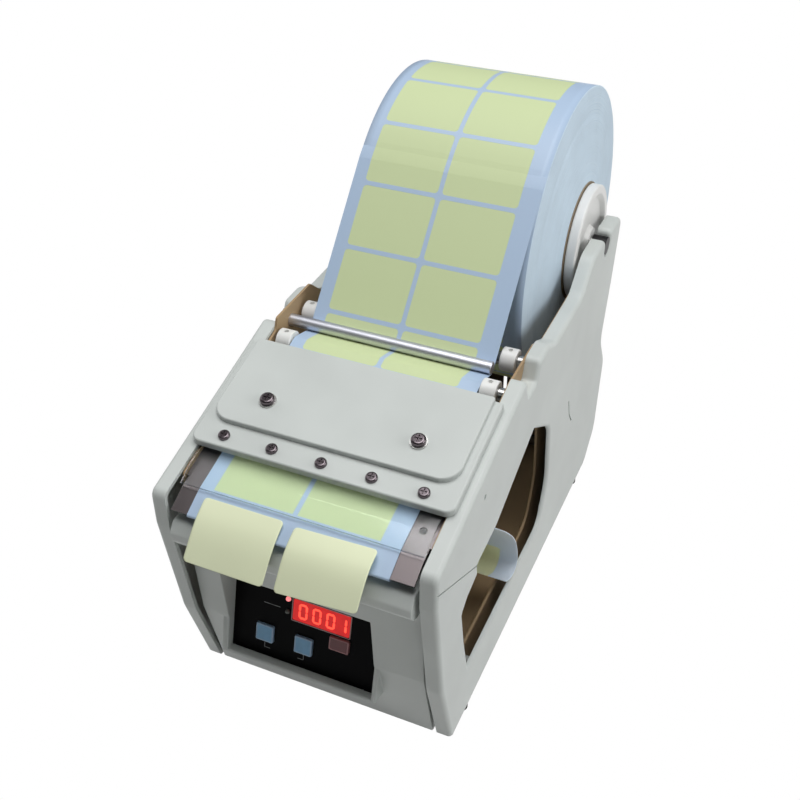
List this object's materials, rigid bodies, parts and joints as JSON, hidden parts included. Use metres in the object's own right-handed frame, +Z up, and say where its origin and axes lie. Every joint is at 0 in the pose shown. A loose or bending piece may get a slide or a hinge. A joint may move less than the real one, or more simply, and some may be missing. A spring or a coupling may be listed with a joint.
{
  "type": "label dispenser",
  "caption": "Bench label dispenser: side walls carry a large label roll, a web under a tension rod, a peel plate with a clear guide and cover, and a front panel with display and keys.",
  "frame": {"origin": "centre of the footprint of the bounding box, on the surface the feet stand on", "axes": "+X to the right seen from the front, +Y from the peel edge back to the roll, +Z up"},
  "size_m": [0.175, 0.4316, 0.306],
  "materials": {
    "wall_plastic": "satin moulded plastic",
    "zinc_steel": "zinc-plated sheet",
    "stainless_plate": "brushed stainless",
    "bright_steel": "turned steel",
    "grey_rod": "satin",
    "white_plastic": "satin",
    "black_plastic": "satin",
    "paper": "matt paper",
    "liner_paper": "glazed paper",
    "card": "grey card",
    "roller_rubber": "matt",
    "bush_brass": "turned",
    "panel_plastic": "textured foil",
    "clear_plastic": "clear",
    "display_red": "tinted lens",
    "lamp_red": "clear lens",
    "key_blue": "satin",
    "key_grey": "satin",
    "board_green": "solder mask",
    "motor_metal": "satin"
  },
  "bodies": {
    "frame": {"axle_end_left": "black_plastic", "axle_end_right": "black_plastic", "base_plate": "zinc_steel", "board_posts": "bush_brass", "chassis_plate_left": "zinc_steel", "chassis_plate_right": "zinc_steel", "circuit_board": "board_green", "clear_guide_sheet": "clear_plastic", "control_panel": "panel_plastic", "cover_bridge": "zinc_steel", "cover_cap_screws": "bright_steel", "cover_strip_screws": "bright_steel", "cover_washers": "bright_steel", "display_module": "black_plastic", "display_window": "display_red", "drive_motor": "motor_metal", "front_housing": "wall_plastic", "guide_shaft_front": "bright_steel", "guide_shaft_rear": "bright_steel", "idler_stud": "bright_steel", "label_sensor": "black_plastic", "label_web": "liner_paper", "liner_tail": "liner_paper", "peel_plate": "stainless_plate", "peeled_label_left": "paper", "peeled_label_right": "paper", "power_switch": "black_plastic", "raised_plate": "wall_plastic", "rear_plate": "zinc_steel", "reel_axle": "bright_steel", "rod_nut": "bright_steel", "roller_bushes": "bush_brass", "rubber_feet": "roller_rubber", "side_wall_left": "wall_plastic", "side_wall_right": "wall_plastic", "status_lamps": "lamp_red", "supply_jack": "black_plastic", "tension_rod": "grey_rod", "tie_bars": "zinc_steel", "top_cover": "wall_plastic", "wall_screws": "bright_steel"},
    "reel": {"label_roll": "paper", "roll_core": "card", "hub_flange_left": "white_plastic", "hub_flange_right": "white_plastic"},
    "drive": {"drive_roller": "roller_rubber", "drive_spindle": "bright_steel", "drive_gear": "white_plastic"},
    "pinch": {"pinch_roller": "roller_rubber"},
    "idler": {"idler_gear": "white_plastic"},
    "rotor": {"motor_pinion": "bush_brass", "motor_shaft": "bright_steel"},
    "up_key": {"key_up": "key_blue"},
    "down_key": {"key_down": "key_blue"},
    "reset_key": {"key_reset": "key_grey"},
    "rocker": {"power_rocker": "black_plastic"},
    "collar_fl": {"collar_front_left": "white_plastic"},
    "collar_fr": {"collar_front_right": "white_plastic"},
    "collar_rl": {"collar_rear_left": "white_plastic"},
    "collar_rr": {"collar_rear_right": "white_plastic"}
  },
  "joints": [
    {"name": "reel_spin", "type": "hinge", "parent": "frame", "child": "reel", "pos_m": [0, 0.1118, 0.202], "axis": [1, 0, 0], "continuous": true},
    {"name": "drive_spin", "type": "hinge", "parent": "frame", "child": "drive", "pos_m": [0, -0.1412, 0.1398], "axis": [1, 0, 0], "continuous": true},
    {"name": "pinch_spin", "type": "hinge", "parent": "frame", "child": "pinch", "pos_m": [0, -0.1412, 0.1615], "axis": [1, 0, 0], "continuous": true},
    {"name": "idler_spin", "type": "hinge", "parent": "frame", "child": "idler", "pos_m": [-0.081, -0.1103, 0.15324], "axis": [1, 0, 0], "continuous": true},
    {"name": "motor_spin", "type": "hinge", "parent": "frame", "child": "rotor", "pos_m": [-0.081, -0.08819, 0.16285], "axis": [1, 0, 0], "continuous": true},
    {"name": "up_key_press", "type": "slide", "parent": "frame", "child": "up_key", "axis": [0, 0.9583, -0.2857], "range_m": [0, 0.0008], "stiffness_N_per_m": 300, "springref_m": -0.0005},
    {"name": "down_key_press", "type": "slide", "parent": "frame", "child": "down_key", "axis": [0, 0.9583, -0.2857], "range_m": [0, 0.0008], "stiffness_N_per_m": 300, "springref_m": -0.0005},
    {"name": "reset_key_press", "type": "slide", "parent": "frame", "child": "reset_key", "axis": [0, 0.9583, -0.2857], "range_m": [0, 0.0008], "stiffness_N_per_m": 300, "springref_m": -0.0005},
    {"name": "power_rock", "type": "hinge", "parent": "frame", "child": "rocker", "pos_m": [-0.045, 0.1223, 0.065], "axis": [1, 0, 0], "range_deg": [0, 14]},
    {"name": "collar_fl_slide", "type": "slide", "parent": "frame", "child": "collar_fl", "axis": [1, 0, 0], "range_m": [-0.0015, 0.0004]},
    {"name": "collar_fr_slide", "type": "slide", "parent": "frame", "child": "collar_fr", "axis": [1, 0, 0], "range_m": [-0.0004, 0.004]},
    {"name": "collar_rl_slide", "type": "slide", "parent": "frame", "child": "collar_rl", "axis": [1, 0, 0], "range_m": [-0.0015, 0.04]},
    {"name": "collar_rr_slide", "type": "slide", "parent": "frame", "child": "collar_rr", "axis": [1, 0, 0], "range_m": [-0.04, 0.004]}
  ],
  "couplings": [
    {"joint": "pinch_spin", "follows": "drive_spin", "ratio": -1.7333},
    {"joint": "idler_spin", "follows": "drive_spin", "ratio": -0.75},
    {"joint": "motor_spin", "follows": "drive_spin", "ratio": 3}
  ]
}
